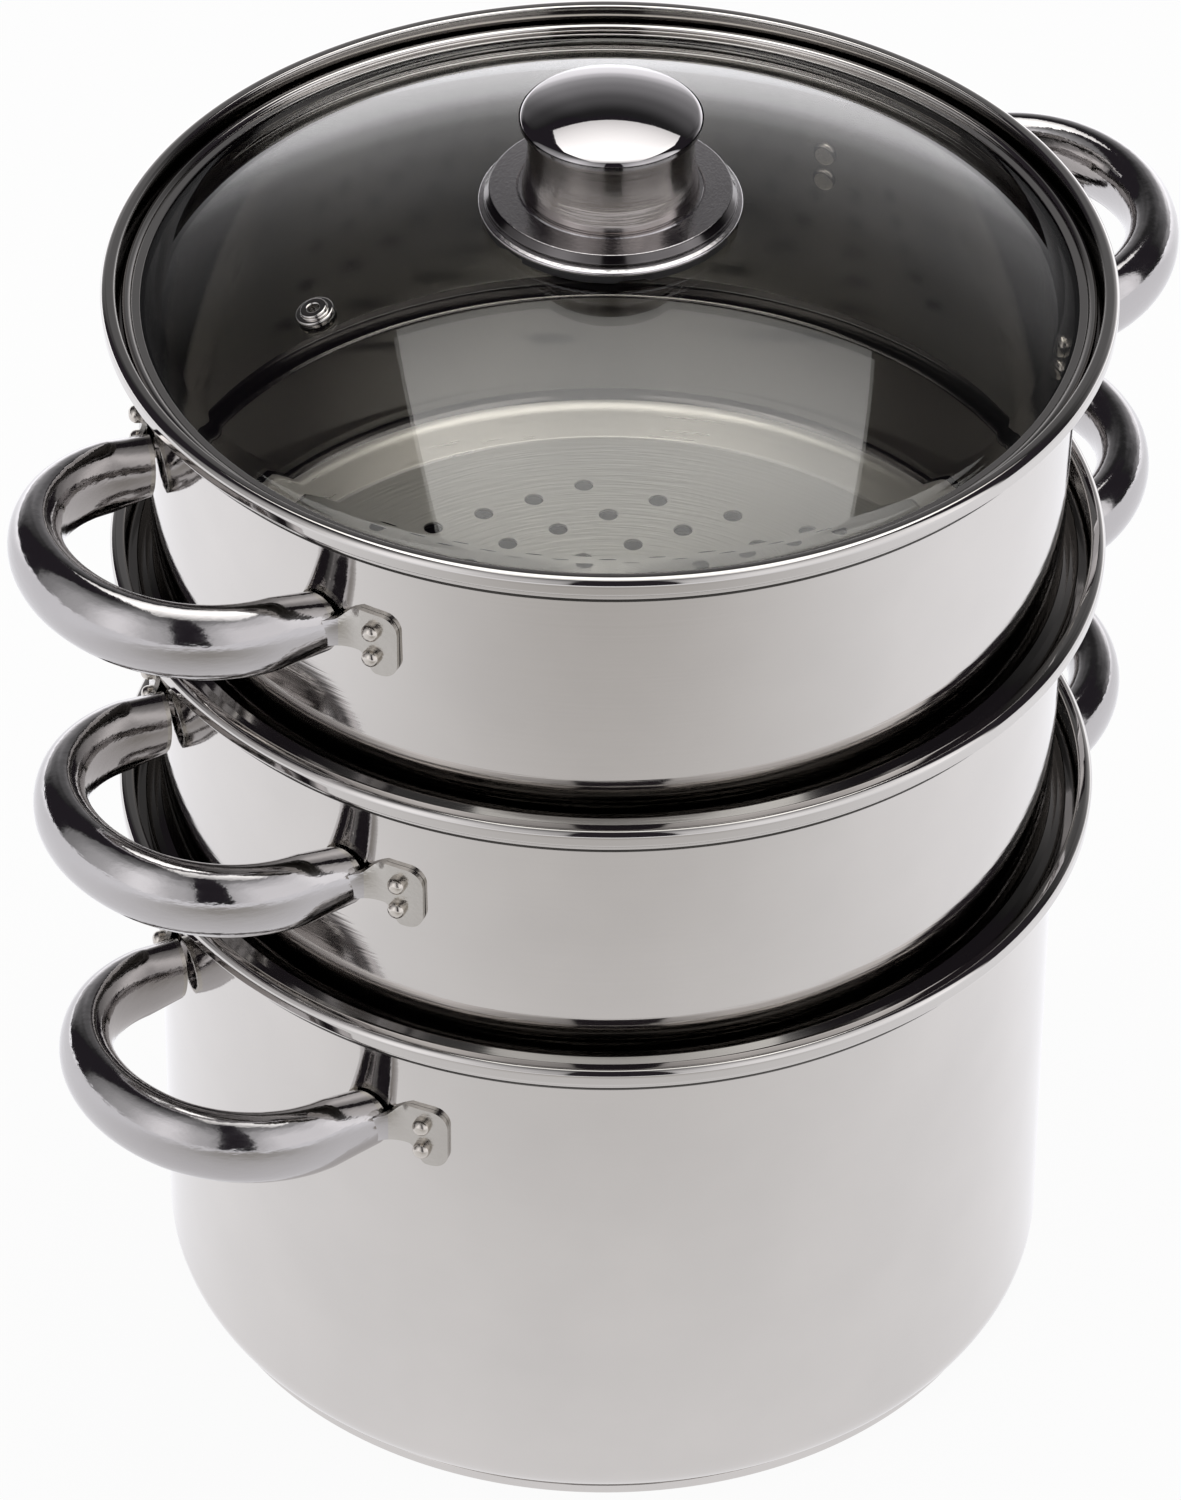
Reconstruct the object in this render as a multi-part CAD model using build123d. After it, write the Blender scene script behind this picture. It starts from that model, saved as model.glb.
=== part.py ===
from build123d import *
import math
import os

# Sizes are in millimetres. The origin is the middle of the pot's underside, +Z is up
# and the pot's two handles lie along X.

# Sheet, rolled rim and seat, alike on all three vessels, and the gap left where curved faces seat
sheet = 0.6
rim_radius = 125.0
bead_width = 3.8
bead_height = 4.6
bead_bevel = 1.2
seat_depth = 9.0
seat_width = 5.5
seat_clearance = 0.05

# Pot
pot_height = 156.0
pot_corner = 10.0

# Base plate: a core closed in by a cap
base_inset = 5.7
base_height = 3.0
cap_sheet = 0.5
core_clearance = 0.05

# Steamers: each hangs in the rim below by a ridge that stops it
tier_rise = 75.2
basket_depth = 36.7
basket_clearance = 2.9
basket_corner = 6.0
foot_taper = 1.3
ridge_clearance = 2.8
ridge_height = 3.4
ridge_slope = 1.6
middle_angle = -3.0
top_angle = -6.0

# Holes of the steamer floors, on a square pattern
hole_diameter = 5.0
hole_pitch = 14.5
hole_sides = 6
hole_reach = 5
hole_reach_diagonal = 7
pattern_turn = -7.9

# Handles: a bent tube with a riveted tab at each end
handle_length = 42.8
handle_half_span = 37.9
corner_inset = 2.5
bow_bulge = 5.3
handle_depth = 35.6
handle_lift = 6.5
tube_half_width = 6.8
tube_half_height = 9.8
tube_end_height_share = 0.82
tube_sides = 8
tube_end_gap = 1.5
tab_thickness = 1.2
tab_root = 3.6
tab_reach = 20.5
tab_height = 17.5
tab_corner = 4.5
tab_lift = 8.4
neck_height = 7.7
neck_top = 4.4
neck_bend = 8.0
flare_reach = 9.2
tab_straight = 0.5

# Rivets, two at each tab
rivet_diameter = 4.6
rivet_reach = 3.9
rivet_spacing = 7.5
rivet_offset = 14.6
rivet_head_diameter = 6.5
rivet_head_height = 1.2
rivet_sides = 6

# Lid: domed glass in a steel band that sits on the top seat
band_clearance = 1.3
band_width = 2.5
band_height = 5.3
lip_thickness = 0.5
upper_lip_width = 2.1
lower_lip_width = 3.4
glass_thickness = 3.2
glass_clearance = 0.1
glass_margin = 4.9
glass_rise = 26.6

# Steam vent in the glass
vent_distance = 77.2
vent_azimuth = 162.6
vent_flange_diameter = 9.6
vent_flange_height = 0.8
vent_barrel_diameter = 6.0
vent_bore_diameter = 3.0
vent_clearance = 0.1
trim_sides = 8

# Knob on the glass
gasket_radius = 31.8
gasket_width = 6.0
gasket_notches = 6
notch_width = 7.0
notch_depth = 1.0
flange_radius = 32.3
flange_lift = 0.5
flange_edge_height = 0.9
flange_step_radius = 30.9
flange_step_height = 2.7
plateau_radius = 29.6
plateau_height = 4.3
plateau_crown = 0.4
neck_base_radius = 21.5
neck_waist_radius = 20.3
neck_top_radius = 20.9
neck_length = 19.2
cap_radius = 22.4
cap_edge_height = 0.6
cap_shoulder_radius = 18.9
cap_shoulder_height = 4.0
cap_dome_height = 1.7
screw_diameter = 5.0
screw_grip = 12.0
screw_head_diameter = 11.0
screw_head_height = 2.6
washer_diameter = 20.0
washer_thickness = 1.2
screw_clearance = 0.3

# Places worked out from the sizes above
collar_radius = rim_radius - bead_width
wall_radius = collar_radius - seat_width
base_radius = wall_radius - base_inset
basket_radius = wall_radius - sheet - basket_clearance
foot_radius = wall_radius - foot_taper
ridge_radius = collar_radius - ridge_clearance
band_radius = collar_radius - band_clearance
glass_margin_radius = band_radius - band_width - glass_margin
handle_reach = wall_radius + handle_length
handle_corner_radius = handle_half_span - corner_inset
handle_bow_radius = handle_half_span + bow_bulge
tab_depth = handle_depth - tab_lift
full_reach = tab_reach - tab_corner - tab_straight
middle_height = pot_height + tier_rise
top_height = middle_height + tier_rise
lid_seat = top_height - seat_depth
glass_base = lid_seat + lip_thickness
glass_rim_top = glass_base + glass_thickness
glass_centre_top = glass_rim_top + glass_rise
dome_radius = (glass_margin_radius**2 + glass_rise**2) / (2 * glass_rise)
flange_base = glass_centre_top + flange_lift
knob_base = flange_base + plateau_height + plateau_crown
cap_base = knob_base + neck_length
bore_overrun = sheet


def turned(*points):
    """Solid turned about the vertical axis from the points of its closed half section."""
    return revolve(make_face(Plane.XZ * Polyline(*points, close=True)), Axis.Z)


def rim_points(top):
    """Outside and inside of a rim, from the wall below it up to the bead and down to the seat."""
    seat = top - seat_depth
    outer = collar_radius + sheet
    return [
        (wall_radius, seat - sheet),
        (outer, seat - sheet),
        (outer, top - bead_height),
        (rim_radius, top - bead_height),
        (rim_radius, top - bead_bevel),
        (rim_radius - bead_bevel, top),
        (collar_radius, top),
        (collar_radius, seat),
        (wall_radius - sheet, seat),
    ]


def rivet_spots(turn, wall):
    """Directions and heights of the rivets at both tabs of a handle."""
    angle = math.degrees(math.asin((handle_half_span + rivet_offset) / wall))
    spots = []
    for side in (-1, 1):
        for level in (-1, 1):
            spots.append((turn + side * angle, level * rivet_spacing / 2))
    return spots


def corner_point(radius, low, corner):
    """Middle of a rounded lower corner, which two flats follow."""
    inward = corner * (1 - math.sqrt(0.5))
    return (radius - inward, low + inward)


def pot_body():
    """Straight drawn pot with an eased lower corner and a seat inside its rolled rim."""
    inside = wall_radius - sheet
    floor = base_height + sheet
    corner = pot_corner - sheet
    return turned(
        (0, base_height),
        (wall_radius - pot_corner, base_height),
        corner_point(wall_radius, base_height, pot_corner),
        (wall_radius, base_height + pot_corner),
        *rim_points(pot_height),
        (inside, floor + corner),
        corner_point(inside, floor, corner),
        (inside - corner, floor),
        (0, floor),
    )


def base_core():
    """Heat spreading disc under the pot's floor."""
    radius = base_radius - cap_sheet - core_clearance
    return turned((0, cap_sheet), (radius, cap_sheet), (radius, base_height), (0, base_height))


def base_cap():
    """Shallow steel cup that closes the core in from below."""
    inside = base_radius - cap_sheet
    return turned(
        (0, 0),
        (base_radius - cap_sheet, 0),
        (base_radius, cap_sheet),
        (base_radius, base_height),
        (inside, base_height),
        (inside, cap_sheet),
        (0, cap_sheet),
    )


def steamer_holes(low, turn):
    """Prisms of the floor holes, a square pattern with its corners left out."""
    section = RegularPolygon(hole_diameter / 2, hole_sides)
    bores = []
    for column in range(-hole_reach, hole_reach + 1):
        for row in range(-hole_reach, hole_reach + 1):
            if abs(column) + abs(row) > hole_reach_diagonal:
                continue
            place = Pos(column * hole_pitch, row * hole_pitch, low - bore_overrun)
            bore = extrude(section, sheet + 2 * bore_overrun)
            bores.append(Rot(0, 0, turn + pattern_turn) * place * bore)
    return bores


def steamer_body(top, turn):
    """Steamer that hangs in the rim below, with a ridge that stops it and a holed floor."""
    seat = top - tier_rise - seat_depth
    low = seat - basket_depth
    crest = seat + ridge_height
    shoulder = crest + ridge_slope
    section = turned(
        (0, low),
        (basket_radius - basket_corner, low),
        (basket_radius, low + basket_corner),
        (basket_radius, seat),
        (ridge_radius, seat),
        (ridge_radius, crest),
        (foot_radius, shoulder),
        *rim_points(top),
        (foot_radius - sheet, shoulder),
        (ridge_radius - sheet, seat + sheet),
        (basket_radius - sheet, seat + sheet),
        (basket_radius - sheet, low + basket_corner),
        (basket_radius - basket_corner, low + sheet),
        (0, low + sheet),
    )
    return section - steamer_holes(low, turn)


def tube_section(height_share=1.0):
    """Many sided outline of the handle's oval tube."""
    points = []
    for step in range(tube_sides):
        angle = math.radians((step + 0.5) * 360 / tube_sides)
        high = tube_half_height * height_share * math.sin(angle)
        points.append((tube_half_width * math.cos(angle), high))
    return make_face(Polyline(*points, close=True))


def handle_tube():
    """Bow of the handle in its own plane: two legs, two corners and the wider bow between."""
    bow_shift = corner_inset + bow_bulge
    corner_angle = math.degrees(math.acos(corner_inset / bow_shift))
    bow_angle = 2 * (90 - corner_angle)
    leg_end = handle_reach - handle_bow_radius + math.sqrt(bow_shift**2 - corner_inset**2)
    start = (leg_end, -handle_half_span)
    corner = JernArc(start, (1, 0), handle_corner_radius, corner_angle)
    bow = JernArc(corner @ 1, corner % 1, handle_bow_radius, bow_angle)
    last = JernArc(bow @ 1, bow % 1, handle_corner_radius, corner_angle)
    mouth = Plane(origin=start, x_dir=(0, 1, 0), z_dir=(1, 0, 0))
    tube = sweep(mouth * tube_section(), path=Wire([corner, bow, last]))
    leg_start = collar_radius - 2 * tube_half_width
    for side in (-1, 1):
        ends = []
        for along, share in ((leg_start, tube_end_height_share), (leg_end, 1.0)):
            origin = (along, side * handle_half_span)
            place = Plane(origin=origin, x_dir=(0, 1, 0), z_dir=(1, 0, 0))
            ends.append(place * tube_section(share))
        tube += loft(ends)
    return tube


def tab(side, wall):
    """Flat tab bent to the wall, wider towards its rounded end, and the neck that carries it."""
    inner = wall + seat_clearance
    outer = inner + tab_thickness
    start, flare, full, end = (
        handle_half_span + reach for reach in (tab_root, flare_reach, full_reach, tab_reach)
    )
    neck_low = -neck_top - neck_height
    outline = make_face(
        Plane.YZ
        * Polyline(
            (start, 0),
            (end, 0),
            (end, -tab_height),
            (full, -tab_height),
            (flare, neck_low),
            (start, neck_low),
            close=True,
        )
    )
    outline = chamfer(outline.vertices().group_by(Axis.Y)[-1], tab_corner)
    height = 2 * tab_height
    skin = Cylinder(outer, height) - Cylinder(inner, height)
    plate = skin & extrude(outline, rim_radius, dir=(1, 0, 0))
    tube_side = handle_half_span + tube_half_width - tab_thickness
    tip = (math.sqrt(outer**2 - flare**2), flare)
    root = (tip[0] + neck_bend, tube_side)
    foot = (math.sqrt(inner**2 - tube_side**2), tube_side)
    web = make_face(Polyline(root, tip, foot, close=True))
    web = Pos(0, 0, neck_low) * extrude(web, neck_height, dir=(0, 0, 1))
    piece = plate + (web - Cylinder(inner, height))
    return piece if side > 0 else mirror(piece, Plane.XZ)


def handle(top, turn, wall):
    """One handle: the tube tilted up outwards, cut clear of the wall, with its two tabs."""
    tilt = Pos(wall_radius, 0, top - handle_depth) * Rot(0, -handle_lift, 0) * Pos(-wall_radius, 0, 0)
    clear = Pos(0, 0, top - handle_depth) * Cylinder(wall + tube_end_gap, 2 * tier_rise)
    piece = tilt * handle_tube() - clear
    for side in (-1, 1):
        piece += Pos(0, 0, top - tab_depth) * tab(side, wall)
    return Rot(0, 0, turn) * piece


def rivets(top, turn, wall):
    """Rivets of one handle: a stud out through each tab and a low head inside the wall."""
    middle = top - tab_depth - tab_height / 2
    inside = wall_radius - sheet
    stud = extrude(RegularPolygon(rivet_diameter / 2, rivet_sides), wall + rivet_reach - inside)
    head = extrude(RegularPolygon(rivet_head_diameter / 2, rivet_sides), -rivet_head_height)
    pieces = []
    for angle, level in rivet_spots(turn, wall):
        place = Rot(0, 0, angle) * Pos(inside, 0, middle + level) * Rot(0, 90, 0)
        pieces.append(place * (stud + head))
    return Compound(children=pieces)


def dome_height(distance):
    """Height of the glass's upper face at a distance from the axis."""
    return glass_centre_top - dome_radius + math.sqrt(dome_radius**2 - distance**2)


def vent_plane():
    """Plane on the glass at the vent, square to the dome."""
    angle = math.radians(vent_azimuth)
    across = (vent_distance * math.cos(angle), vent_distance * math.sin(angle))
    high = dome_height(vent_distance)
    centre = glass_centre_top - dome_radius
    return Plane(origin=(*across, high), z_dir=(*across, high - centre))


def lid_glass():
    """Domed glass with a flat margin, a hole for the knob's screw and one for the vent."""
    edge = band_radius - band_width - glass_clearance
    halfway = glass_margin_radius / 2
    upper = ThreePointArc(
        (0, glass_centre_top), (halfway, dome_height(halfway)), (glass_margin_radius, glass_rim_top)
    )
    lower = Pos(0, -glass_thickness) * upper
    outline = [
        upper,
        Line(upper @ 1, (edge, glass_rim_top)),
        Line((edge, glass_rim_top), (edge, glass_base)),
        Line((edge, glass_base), lower @ 1),
        lower,
        Line(lower @ 0, upper @ 0),
    ]
    glass = revolve(Plane.XZ * make_face(outline), Axis.Z)
    vent = RegularPolygon(vent_barrel_diameter / 2 + vent_clearance, trim_sides)
    return glass - vent_plane() * extrude(vent, 2 * glass_thickness, both=True) - knob_bore()


def lid_band():
    """Steel band with a raised outer edge and two lips that hold the glass."""
    inner = band_radius - band_width
    upper_lip_radius = inner - upper_lip_width
    lower_lip_radius = inner - lower_lip_width
    top = lid_seat + band_height
    lip_top = glass_rim_top + lip_thickness
    return turned(
        (lower_lip_radius, lid_seat),
        (band_radius, lid_seat),
        (band_radius, top),
        (inner, top),
        (inner, lip_top),
        (upper_lip_radius, lip_top),
        (upper_lip_radius, glass_rim_top),
        (inner, glass_rim_top),
        (inner, glass_base),
        (lower_lip_radius, glass_base),
    )


def vent_eyelet():
    """Eyelet through the glass, with a flange on each side."""
    flange = extrude(RegularPolygon(vent_flange_diameter / 2, trim_sides), vent_flange_height)
    length = glass_thickness + 2 * vent_clearance
    barrel = extrude(RegularPolygon(vent_barrel_diameter / 2, trim_sides), length)
    bore = RegularPolygon(vent_bore_diameter / 2, trim_sides)
    low = -length + vent_clearance
    spool = Pos(0, 0, vent_clearance) * flange + Pos(0, 0, low) * barrel
    spool += Pos(0, 0, low - vent_flange_height) * flange
    return vent_plane() * (spool - extrude(bore, 2 * glass_thickness, both=True))


def knob_gasket():
    """Soft ring between the glass and the flange, with notches in its edge."""
    inner = gasket_radius - gasket_width
    ring = turned(
        (inner, dome_height(inner) + seat_clearance),
        (gasket_radius, dome_height(gasket_radius) + seat_clearance),
        (gasket_radius, flange_base),
        (inner, flange_base),
    )
    depth = flange_base - dome_height(gasket_radius)
    notch = Pos(gasket_radius, 0, flange_base) * Box(2 * notch_depth, notch_width, 2 * depth)
    for step in range(gasket_notches):
        ring -= Rot(0, 0, step * 360 / gasket_notches) * notch
    return ring


def knob_bore():
    """Prism that cuts the screw's bore through the pieces of the knob and the glass."""
    section = RegularPolygon(screw_diameter / 2 + screw_clearance, trim_sides)
    return Pos(0, 0, glass_rim_top) * extrude(section, knob_base + screw_grip - glass_rim_top)


def knob_flange():
    """Wide foot plate of the knob, stepped at its edge, with a low crown under the neck."""
    plate = turned(
        (0, flange_base),
        (flange_radius - flange_edge_height, flange_base),
        (flange_radius, flange_base + flange_edge_height),
        (flange_step_radius, flange_base + flange_step_height),
        (plateau_radius, flange_base + plateau_height),
        (neck_base_radius, knob_base),
        (0, knob_base),
    )
    return plate - knob_bore()


def knob_neck():
    """Waisted neck that stands on the flange, with a blind bore for the screw."""
    waist = knob_base + neck_length / 2
    base = (neck_base_radius, knob_base)
    side = ThreePointArc(base, (neck_waist_radius, waist), (neck_top_radius, cap_base))
    corners = Polyline((neck_top_radius, cap_base), (0, cap_base), (0, knob_base), base)
    return revolve(Plane.XZ * make_face([side, corners]), Axis.Z) - knob_bore()


def knob_cap():
    """Cap of the knob with a thin edge, a sloped shoulder and a low dome."""
    edge = cap_base + cap_edge_height
    shoulder = edge + cap_shoulder_height
    crown = shoulder + cap_dome_height
    radius = (cap_shoulder_radius**2 + cap_dome_height**2) / (2 * cap_dome_height)
    halfway = cap_shoulder_radius / 2
    high = crown - radius + math.sqrt(radius**2 - halfway**2)
    dome = ThreePointArc((0, crown), (halfway, high), (cap_shoulder_radius, shoulder))
    corners = Polyline(
        (cap_shoulder_radius, shoulder),
        (cap_radius, edge),
        (neck_top_radius, cap_base),
        (0, cap_base),
        (0, crown),
    )
    return revolve(Plane.XZ * make_face([dome, corners]), Axis.Z)


def knob_screw():
    """Screw with its washer, up through the glass into the neck."""
    under = dome_height(washer_diameter / 2) - glass_thickness - seat_clearance
    shank = RegularPolygon(screw_diameter / 2, trim_sides)
    head = RegularPolygon(screw_head_diameter / 2, trim_sides)
    washer = RegularPolygon(washer_diameter / 2, trim_sides)
    screw = extrude(shank, knob_base + screw_grip - screw_clearance - under)
    screw += extrude(washer, -washer_thickness)
    screw += Pos(0, 0, -washer_thickness) * extrude(head, -screw_head_height)
    return Pos(0, 0, under) * screw


def wall_at(depth):
    """Outer radius of a steamer's wall at a depth below its rim."""
    drop = tier_rise - ridge_height - ridge_slope - sheet
    return wall_radius - (wall_radius - foot_radius) * (depth - seat_depth - sheet) / drop


def write(name, shape):
    """Each piece goes to its own file, named after it."""
    shape.label = name
    export_step(shape, f"parts/{name}.step")


os.makedirs("parts", exist_ok=True)
tiers = (
    ("pot", pot_height, 0, wall_radius),
    ("middle_steamer", middle_height, middle_angle, wall_at(tab_depth)),
    ("top_steamer", top_height, top_angle, wall_at(tab_depth)),
)
write("pot_body", pot_body())
write("pot_base_core", base_core())
write("pot_base_cap", base_cap())
write("middle_steamer_body", steamer_body(middle_height, middle_angle))
write("top_steamer_body", steamer_body(top_height, top_angle))
for tier, top, turn, wall in tiers:
    for hand, half_turn in (("right", 0), ("left", 180)):
        write(f"{tier}_handle_{hand}", handle(top, turn + half_turn, wall))
        write(f"{tier}_rivets_{hand}", rivets(top, turn + half_turn, wall))
write("lid_glass", lid_glass())
write("lid_band", lid_band())
write("vent_eyelet", vent_eyelet())
write("knob_gasket", knob_gasket())
write("knob_flange", knob_flange())
write("knob_neck", knob_neck())
write("knob_cap", knob_cap())
write("knob_screw", knob_screw())
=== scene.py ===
import math

import bmesh
import bpy
from mathutils import Matrix, Vector


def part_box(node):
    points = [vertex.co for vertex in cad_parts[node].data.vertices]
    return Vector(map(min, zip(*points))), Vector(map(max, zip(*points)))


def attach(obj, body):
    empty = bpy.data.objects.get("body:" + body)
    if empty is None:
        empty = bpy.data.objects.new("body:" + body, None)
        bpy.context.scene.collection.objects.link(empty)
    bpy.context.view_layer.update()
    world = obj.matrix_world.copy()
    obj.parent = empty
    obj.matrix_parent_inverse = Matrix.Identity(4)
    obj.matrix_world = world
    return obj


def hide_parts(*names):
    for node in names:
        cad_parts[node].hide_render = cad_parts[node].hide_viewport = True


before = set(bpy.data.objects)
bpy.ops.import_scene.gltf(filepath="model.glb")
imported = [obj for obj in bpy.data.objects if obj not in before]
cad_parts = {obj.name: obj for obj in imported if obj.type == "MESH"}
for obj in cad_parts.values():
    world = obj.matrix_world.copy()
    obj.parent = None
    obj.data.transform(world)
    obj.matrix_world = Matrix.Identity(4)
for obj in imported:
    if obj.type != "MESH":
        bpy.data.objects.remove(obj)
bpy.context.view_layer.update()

# Viewpoint of the photograph: a long lens from above and from the side, with the left handles
# towards it. It is turned a little about its own axis, as the photograph is.
view_azimuth = math.radians(-40.4)
view_elevation = math.radians(38.25)
view_distance = 2.002
aim_height = 0.1581
lens_length = 186.96
view_roll = 0.00822
sideways_shift = -0.0104

away = Vector((-math.sin(view_azimuth), math.cos(view_azimuth), 0))
lens_side = -away * math.cos(view_elevation) + Vector((0, 0, math.sin(view_elevation)))
camera_data = bpy.data.cameras.new("viewpoint")
camera_data.lens = lens_length
camera_data.shift_x = sideways_shift
camera = bpy.data.objects.new("viewpoint", camera_data)
aimed = (-lens_side).to_track_quat("-Z", "Y").to_matrix().to_4x4()
place = Matrix.Translation(Vector((0, 0, aim_height)) + lens_side * view_distance)
camera.matrix_world = place @ aimed @ Matrix.Rotation(view_roll, 4, "Z")
bpy.context.scene.collection.objects.link(camera)
bpy.context.scene.camera = camera
bpy.context.scene.view_settings.view_transform = "Standard"

# Studio: a white paper floor, a pale backdrop that fades upwards, one large softbox overhead
# and a pale screen on each side of the camera, with a dark gap between them. Directions in the
# room are told from the camera's own heading: ahead is away from it.
to_lens_frame = Matrix.Rotation(view_azimuth, 4, "Z")
floor_size = 8.0
floor_white = 0.9
floor_shade_reach = 0.95
floor_shade_place = (0.0, -0.75, 0.0)
floor_shaded = (0.48, 0.462, 0.44, 1)
floor_lit = (1.08, 1.08, 1.12, 1)
floor_far = 0.5
floor_gain = 1.6
shadow_share = 0.06
softbox_height = 1.1
softbox_far_width = 0.842
softbox_near_width = 0.6
softbox_far_shift = 0.049
softbox_near_shift = 0.073
softbox_far = 0.575
softbox_near = -0.4
softbox_rise = (0.4, 5.0)
softbox_fall = (5.0, 1.2)
softbox_tint = (1.0, 0.99, 0.97)
room_light = 0.55
white = (1, 1, 1, 1)
ceiling_colour = (0.028, 0.024, 0.03)
backdrop_tint = (0.98, 0.97, 1.0)
screen_tint = (0.985, 0.975, 1.0)
# Brightness by compass angle from ahead, by angle from the camera's side, and by height
backdrop_round = ((-48, 0), (-26, 0.5), (-12, 1), (30, 1), (52, 0.35), (72, 0.02))
backdrop_up = ((-8, 1.5), (3, 1.45), (8, 0.85), (13, 0.5), (22, 0.34), (34, 0.15), (46, 0.03), (60, 0))
screens_left = ((-106, 0), (-99, 0.34), (-75, 0.62), (-45, 1.35), (-18, 0.75), (-9, 0.6), (-7, 0))
screens_right = ((14, 0), (16, 0.8), (35, 1.15), (60, 1.15), (76, 1.4), (84, 1.2), (90, 0))
screens_up = ((-16, 0.55), (0, 1), (25, 1), (45, 0.75), (60, 0.34), (76, 0.16), (86, 0))


def feed(tree, node, inputs):
    """Link or set inputs of a node."""
    for name, value in inputs.items():
        if isinstance(value, bpy.types.NodeSocket):
            tree.links.new(value, node.inputs[name])
        else:
            node.inputs[name].default_value = value


def add(tree, kind, inputs=None, **settings):
    """New node with its settings made and its inputs linked or set."""
    made = tree.nodes.new(kind)
    for name, value in settings.items():
        setattr(made, name, value)
    feed(tree, made, inputs or {})
    return made


def maths(tree, operation, first, second=0.0):
    """Result of one step of arithmetic."""
    return add(tree, "ShaderNodeMath", {0: first, 1: second}, operation=operation).outputs[0]


def scaled(tree, vector, share):
    """Vector or colour made longer or brighter."""
    return add(tree, "ShaderNodeVectorMath", {0: vector, "Scale": share}, operation="SCALE").outputs[0]


def blend(tree, share, first, second):
    """Colour between two."""
    return add(tree, "ShaderNodeMix", {0: share, 6: first, 7: second}, data_type="RGBA").outputs[2]


def spread(tree, value, given, wanted, change="LINEAR"):
    """Value taken from one range to another, and held at its ends."""
    inputs = {"From Min": given[0], "From Max": given[1], "To Min": wanted[0], "To Max": wanted[1]}
    inputs["Value"] = value
    return add(tree, "ShaderNodeMapRange", inputs, interpolation_type=change).outputs["Result"]


def in_lens_frame(tree, place):
    """Place or direction turned to the camera's heading, whole and by its axes."""
    whole = add(tree, "ShaderNodeMapping", {"Vector": place, "Rotation": (0, 0, -view_azimuth)}).outputs[0]
    return whole, add(tree, "ShaderNodeSeparateXYZ", {0: whole}).outputs


def link_object(name, data, *finishes):
    """Object of this name in the scene, with these finishes."""
    for finish in finishes:
        data.materials.append(finish)
    made = bpy.data.objects.new(name, data)
    bpy.context.scene.collection.objects.link(made)
    return made


def floor_material():
    """White paper that keeps a faint shadow; in reflections it glows, with painted shade towards the camera
    and painted light further off.
    """
    made = bpy.data.materials.new("studio_paper")
    made.use_nodes = True
    tree = made.node_tree
    tree.nodes.clear()
    path = add(tree, "ShaderNodeLightPath").outputs
    place, axes = in_lens_frame(tree, add(tree, "ShaderNodeTexCoord").outputs["Object"])
    centred = add(tree, "ShaderNodeVectorMath", {0: place, 1: floor_shade_place}, operation="DISTANCE")
    shade = spread(tree, centred.outputs["Value"], (0, floor_shade_reach), (0, 1), "SMOOTHSTEP")
    # Painted light: seen in reflections, the floor grows brighter beyond floor_far, away from the camera.
    gain = spread(tree, axes["Y"], (floor_far, 3 * floor_far), (1, floor_gain))
    mirrored = scaled(tree, blend(tree, shade, floor_shaded, floor_lit), gain)
    glow = add(tree, "ShaderNodeEmission", {"Color": blend(tree, path["Is Camera Ray"], mirrored, white)})
    paper = add(tree, "ShaderNodeBsdfDiffuse", {"Color": (floor_white, floor_white, floor_white, 1)})
    plain = maths(tree, "MULTIPLY", path["Is Camera Ray"], 1 - shadow_share)
    glossy = maths(tree, "MAXIMUM", plain, path["Is Glossy Ray"])
    clear = maths(tree, "MAXIMUM", glossy, path["Is Transmission Ray"])
    both = add(tree, "ShaderNodeMixShader", {0: clear, 1: paper.outputs[0], 2: glow.outputs[0]})
    add(tree, "ShaderNodeOutputMaterial", {"Surface": both.outputs[0]})
    return made


def studio_world():
    """Room round the object by direction, white behind what the camera sees."""
    world = bpy.data.worlds.new("studio")
    world.use_nodes = True
    tree = world.node_tree
    tree.nodes.clear()
    path = add(tree, "ShaderNodeLightPath").outputs
    axes = in_lens_frame(tree, add(tree, "ShaderNodeTexCoord").outputs["Generated"])[1]

    def profile(angle, stops):
        """Brightness along an angle, from stops given in degrees."""
        most = max(value for _, value in stops)
        share = maths(tree, "ADD", maths(tree, "DIVIDE", angle, 2 * math.pi), 0.5)
        ramp = add(tree, "ShaderNodeValToRGB", {"Fac": share})
        ramp.color_ramp.interpolation = "EASE"
        while len(ramp.color_ramp.elements) < len(stops):
            ramp.color_ramp.elements.new(1)
        for element, (degrees, value) in zip(ramp.color_ramp.elements, stops):
            element.position = degrees / 360 + 0.5
            element.color = (*[value / most] * 3, 1)
        return maths(tree, "MULTIPLY", ramp.outputs["Color"], most)

    ahead = maths(tree, "ARCTAN2", axes["X"], axes["Y"])
    behind = maths(tree, "ARCTAN2", axes["X"], maths(tree, "MULTIPLY", axes["Y"], -1))
    height = maths(tree, "ARCSINE", axes["Z"])
    board = maths(tree, "MULTIPLY", profile(ahead, backdrop_round), profile(height, backdrop_up))
    panels = maths(tree, "ADD", profile(behind, screens_left), profile(behind, screens_right))
    panels = maths(tree, "MULTIPLY", panels, profile(height, screens_up))
    lit = {0: scaled(tree, backdrop_tint, board), 1: scaled(tree, screen_tint, panels)}
    both = add(tree, "ShaderNodeVectorMath", lit, operation="ADD")
    around = add(tree, "ShaderNodeVectorMath", {0: both.outputs[0], 1: ceiling_colour}, operation="MAXIMUM")
    soft = blend(tree, path["Is Diffuse Ray"], around.outputs[0], (room_light, room_light, room_light, 1))
    light = add(tree, "ShaderNodeBackground", {"Color": blend(tree, path["Is Camera Ray"], soft, white)})
    add(tree, "ShaderNodeOutputWorld", {"Surface": light.outputs[0]})
    return world


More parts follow.
